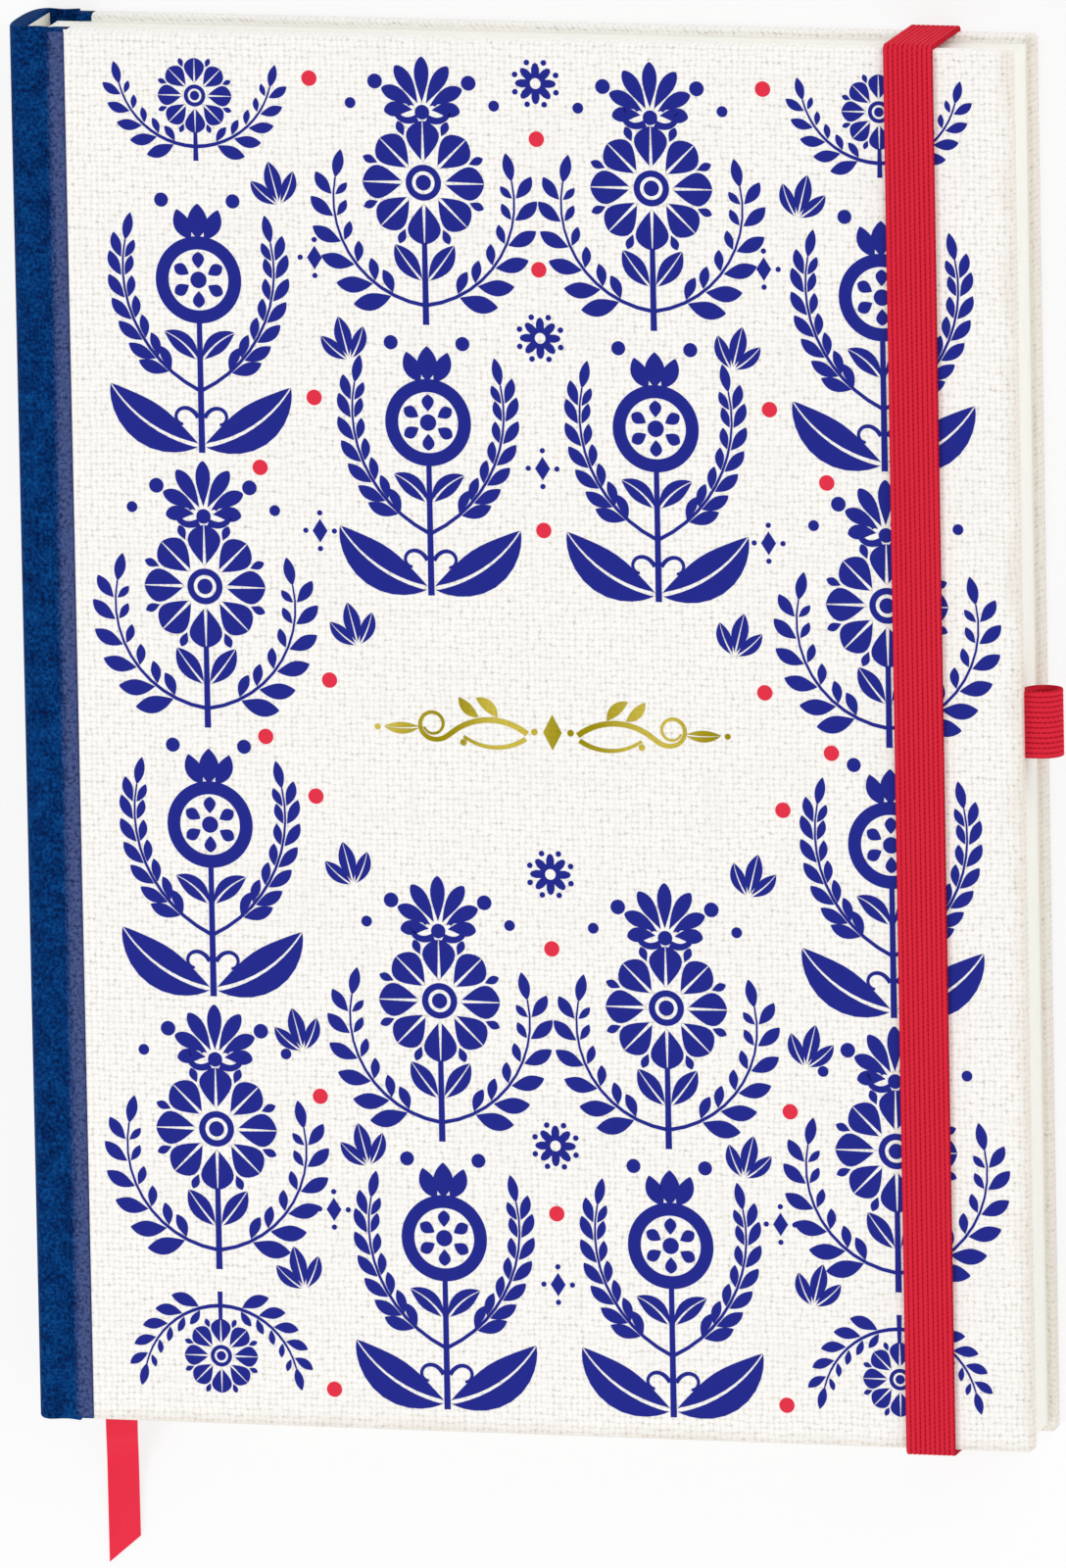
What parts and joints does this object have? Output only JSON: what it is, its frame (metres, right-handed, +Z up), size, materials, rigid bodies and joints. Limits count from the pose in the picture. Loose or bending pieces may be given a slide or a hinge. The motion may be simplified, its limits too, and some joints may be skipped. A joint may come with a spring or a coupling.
{
  "type": "address book",
  "caption": "Hardcover address book with a cloth spine, linen-look printed covers, sewn pages, an elastic closure band, a pen loop and a ribbon marker; the cover opens and the leaves fan.",
  "frame": {"origin": "middle of the back cover's outer face, on which the book lies", "axes": "+X from the spine to the fore-edge, +Y from the foot to the head, +Z up through the front cover"},
  "size_m": [0.1623, 0.2423, 0.019],
  "materials": {
    "linen_paper": "matt linen emboss",
    "spine_cloth": "matt bookcloth",
    "grey_board": "raw board",
    "endpaper": "smooth",
    "page_paper": "smooth",
    "thread": "twisted thread",
    "gauze": "open weave",
    "ribbon": "satin",
    "elastic": "ribbed weave"
  },
  "bodies": {
    "back_cover": {"back_board": "grey_board", "back_cover_paper": "linen_paper", "back_joint_cloth": "spine_cloth", "back_pastedown": "endpaper", "back_flyleaf": "endpaper", "section_1": "page_paper", "section_2": "page_paper", "section_3": "page_paper", "section_4": "page_paper", "section_5": "page_paper", "section_6": "page_paper", "section_7": "page_paper", "sewing_thread": "thread", "spine_lining": "gauze", "ribbon_inner": "ribbon", "band_end_head": "elastic", "band_end_tail": "elastic"},
    "spine": {"spine_board": "grey_board", "spine_cloth": "spine_cloth"},
    "front_cover": {"front_board": "grey_board", "front_cover_paper": "linen_paper", "front_joint_cloth": "spine_cloth", "front_pastedown": "endpaper", "pen_loop": "elastic"},
    "flyleaf": {"front_flyleaf": "endpaper"},
    "leaf_1": {"leaf_1": "page_paper"},
    "leaf_2": {"leaf_2": "page_paper"},
    "leaf_3": {"leaf_3": "page_paper"},
    "leaf_4": {"leaf_4": "page_paper"},
    "elastic_band": {"elastic_band": "elastic"},
    "ribbon_tail": {"ribbon_tail": "ribbon"}
  },
  "joints": [
    {"name": "spine_lean", "type": "hinge", "parent": "back_cover", "child": "spine", "pos_m": [-0.0756, 0, 0.0003], "axis": [0, -1, 0], "range_deg": [0, 17]},
    {"name": "front_cover_open", "type": "hinge", "parent": "spine", "child": "front_cover", "pos_m": [-0.0756, 0, 0.0177], "axis": [0, -1, 0], "range_deg": [0, 169]},
    {"name": "flyleaf_turn", "type": "hinge", "parent": "back_cover", "child": "flyleaf", "pos_m": [-0.0739, 0, 0.0149], "axis": [0, -1, 0], "range_deg": [0, 149]},
    {"name": "leaf_1_turn", "type": "hinge", "parent": "back_cover", "child": "leaf_1", "pos_m": [-0.0739, 0, 0.01465], "axis": [0, -1, 0], "range_deg": [0, 119]},
    {"name": "leaf_2_turn", "type": "hinge", "parent": "back_cover", "child": "leaf_2", "pos_m": [-0.0739, 0, 0.01425], "axis": [0, -1, 0], "range_deg": [0, 85]},
    {"name": "leaf_3_turn", "type": "hinge", "parent": "back_cover", "child": "leaf_3", "pos_m": [-0.0739, 0, 0.01385], "axis": [0, -1, 0], "range_deg": [0, 51]},
    {"name": "leaf_4_turn", "type": "hinge", "parent": "back_cover", "child": "leaf_4", "pos_m": [-0.0739, 0, 0.01345], "axis": [0, -1, 0], "range_deg": [0, 24]},
    {"name": "band_release", "type": "hinge", "parent": "back_cover", "child": "elastic_band", "pos_m": [0.06275, 0, 0.0015], "axis": [0, 1, 0], "range_deg": [0, 186], "deforming": ["elastic_band"]},
    {"name": "ribbon_lift", "type": "hinge", "parent": "back_cover", "child": "ribbon_tail", "pos_m": [-0.067, -0.1063, 0.00895], "axis": [-1, 0, 0], "range_deg": [0, 55]}
  ],
  "couplings": [
    {"joint": "spine_lean", "follows": "front_cover_open", "ratio": 0.1},
    {"joint": "flyleaf_turn", "follows": "front_cover_open", "ratio": 0.88},
    {"joint": "leaf_1_turn", "follows": "front_cover_open", "ratio": 0.7},
    {"joint": "leaf_2_turn", "follows": "front_cover_open", "ratio": 0.5},
    {"joint": "leaf_3_turn", "follows": "front_cover_open", "ratio": 0.3},
    {"joint": "leaf_4_turn", "follows": "front_cover_open", "ratio": 0.14},
    {"joint": "band_release", "follows": "front_cover_open", "ratio": 1.065}
  ]
}
